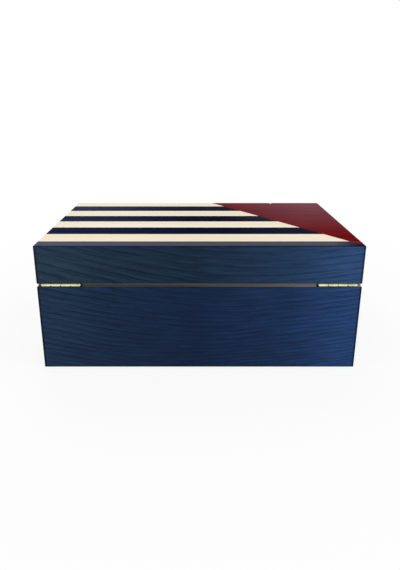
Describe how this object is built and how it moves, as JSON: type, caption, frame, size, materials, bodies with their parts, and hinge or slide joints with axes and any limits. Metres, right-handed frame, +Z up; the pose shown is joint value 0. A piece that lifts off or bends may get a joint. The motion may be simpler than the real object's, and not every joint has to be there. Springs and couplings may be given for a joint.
{
  "type": "humidor",
  "caption": "Desktop humidor: a lacquered, inlaid wooden box with a hinged lid, cedar lining, lift-out tray, lid lock, hygrometer and humidifier.",
  "frame": {"origin": "middle of the underside of the felt pad, on the surface that the box stands on", "axes": "+X along the width, +Y from the front to the hinged back, +Z up; the front with the keyhole faces -Y"},
  "size_m": [0.38, 0.2845, 0.155],
  "materials": {
    "blue_veneer": "gloss lacquer on blue stained veneer",
    "ivory_veneer": "gloss lacquer on pale veneer",
    "red_veneer": "gloss lacquer on red stained veneer",
    "core_wood": "bare, sanded",
    "cedar": "bare, sanded",
    "felt": "felt",
    "brass": "polished",
    "steel": "satin",
    "black_plastic": "satin moulded",
    "grille": "brass coloured, brushed",
    "foam": "open foam",
    "glass": "clear",
    "dial": "satin white",
    "needle": "satin black"
  },
  "bodies": {
    "base": {"base_back_veneer": "blue_veneer", "base_side_veneers": "blue_veneer", "base_blue_stripes": "blue_veneer", "base_white_stripes": "ivory_veneer", "base_star": "ivory_veneer", "base_red_field": "red_veneer", "base_front_wall": "core_wood", "base_back_wall": "core_wood", "base_left_wall": "core_wood", "base_right_wall": "core_wood", "base_floor_panel": "core_wood", "base_lining_front": "cedar", "base_lining_back": "cedar", "base_lining_left": "cedar", "base_lining_right": "cedar", "base_lining_floor": "cedar", "tray_ledges": "cedar", "base_felt": "felt", "hinge_base_leaves": "brass", "hinge_pins": "brass", "hinge_base_screws": "brass", "lock_case": "brass", "lock_screws": "brass", "keyhole_escutcheon": "brass"},
    "lid": {"lid_back_veneer": "blue_veneer", "lid_side_veneers": "blue_veneer", "lid_blue_stripes": "blue_veneer", "lid_white_stripes": "ivory_veneer", "lid_star": "ivory_veneer", "lid_red_field": "red_veneer", "lid_front_rail": "core_wood", "lid_back_rail": "core_wood", "lid_left_rail": "core_wood", "lid_right_rail": "core_wood", "lid_top_panel": "core_wood", "lid_lining_front": "cedar", "lid_lining_back": "cedar", "lid_lining_left": "cedar", "lid_lining_right": "cedar", "lid_lining_top": "cedar", "hinge_lid_leaves": "brass", "hinge_lid_screws": "brass", "lock_strike": "brass", "lock_strike_screws": "brass", "hygrometer_case": "brass", "hygrometer_dial": "dial", "hygrometer_glass": "glass"},
    "needle": {"hygrometer_needle": "needle"},
    "humidifier": {"humidifier_case": "black_plastic", "humidifier_foam": "foam", "humidifier_grille": "grille", "humidifier_magnets": "steel"},
    "tray": {"tray_frame": "cedar", "tray_floor": "cedar"},
    "tray_divider": {"tray_divider": "cedar"},
    "base_divider": {"base_divider": "cedar"},
    "key": {"key": "brass"},
    "lock_bolt": {"lock_bolt": "steel"}
  },
  "joints": [
    {"name": "lid_hinge", "type": "hinge", "parent": "base", "child": "lid", "pos_m": [0, 0.1277, 0.1075], "axis": [-1, 0, 0], "range_deg": [0, 98]},
    {"name": "key_turn", "type": "hinge", "parent": "base", "child": "key", "pos_m": [0, -0.13, 0.092], "axis": [0, 1, 0], "range_deg": [0, 360]},
    {"name": "bolt_throw", "type": "slide", "parent": "base", "child": "lock_bolt", "axis": [1, 0, 0], "range_m": [0, 0.004]},
    {"name": "tray_lift", "type": "slide", "parent": "base", "child": "tray", "axis": [0, 0, 1], "range_m": [0, 0.01]},
    {"name": "tray_divider_slide", "type": "slide", "parent": "tray", "child": "tray_divider", "axis": [1, 0, 0], "range_m": [-0.205, 0.115]},
    {"name": "base_divider_slide", "type": "slide", "parent": "base", "child": "base_divider", "axis": [1, 0, 0], "range_m": [-0.1115, 0.2215]},
    {"name": "humidifier_pull", "type": "slide", "parent": "lid", "child": "humidifier", "axis": [0, 0, -1], "range_m": [0, 0.008]},
    {"name": "needle_swing", "type": "hinge", "parent": "lid", "child": "needle", "pos_m": [0.104, 0, 0.134], "axis": [0, 0, 1], "range_deg": [-189, 81]}
  ],
  "couplings": [
    {"joint": "bolt_throw", "follows": "key_turn", "m_per_rad": 0.0006366}
  ]
}
